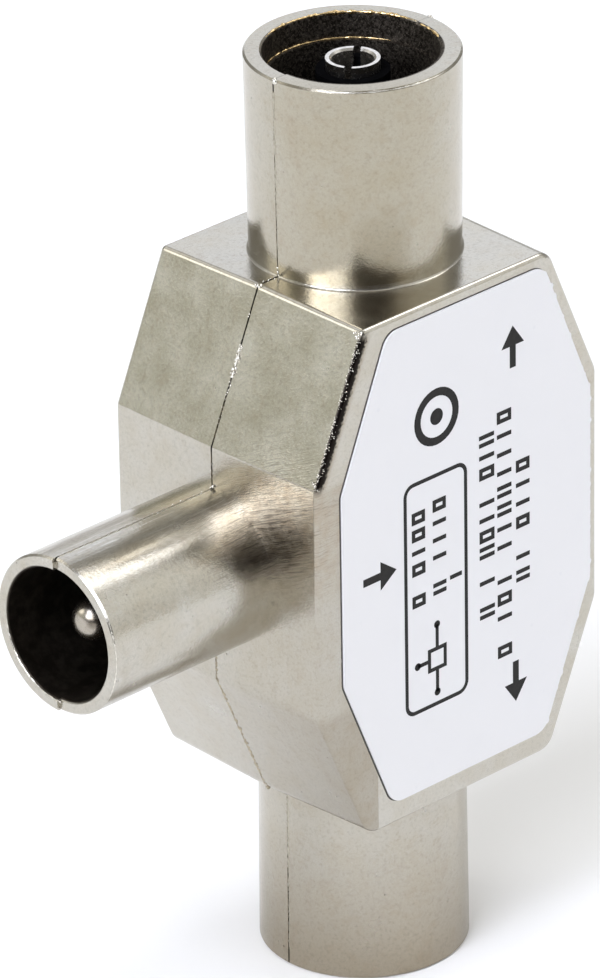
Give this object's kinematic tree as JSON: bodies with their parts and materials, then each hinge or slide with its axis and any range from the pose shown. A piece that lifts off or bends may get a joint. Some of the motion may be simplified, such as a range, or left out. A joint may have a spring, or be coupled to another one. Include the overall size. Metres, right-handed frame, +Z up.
{
  "type": "coaxial splitter",
  "caption": "Die-cast coaxial splitter box in two half shells, with a plug on its side, a socket at each end, a label and the dividing circuit inside.",
  "frame": {"origin": "centre of the lower socket's mouth, which the splitter stands on", "axes": "+Z up along the two sockets' common axis, -X out of the plug, -Y out of the labelled face; y = 0 is the seam between the shells"},
  "size_m": [0.0347, 0.0164, 0.056],
  "materials": {
    "nickel_casting": "satin nickel plate over a zinc die casting, finely pitted",
    "contact_metal": "smooth nickel plate on brass",
    "black_plastic": "moulded, slightly glossy",
    "label_film": "white printed film, semi-matt",
    "board_laminate": "glass-fibre laminate with solder mask",
    "ferrite": "sintered, dull",
    "copper_wire": "enamelled copper",
    "chip_ceramic": "fired ceramic with tinned ends",
    "solder": "bright solder"
  },
  "bodies": {
    "root": {"front_shell": "nickel_casting", "rear_shell": "nickel_casting", "label": "label_film", "plug_pin": "contact_metal", "plug_insulator": "black_plastic", "upper_contact": "contact_metal", "lower_contact": "contact_metal", "upper_insulator": "black_plastic", "lower_insulator": "black_plastic", "circuit_board": "board_laminate", "matching_core": "ferrite", "matching_winding": "copper_wire", "splitter_core": "ferrite", "splitter_winding": "copper_wire", "isolation_resistor": "chip_ceramic", "input_capacitor": "chip_ceramic", "upper_capacitor": "chip_ceramic", "lower_capacitor": "chip_ceramic", "input_solder": "solder", "upper_solder": "solder", "lower_solder": "solder", "chip_solder": "solder"}
  },
  "joints": []
}
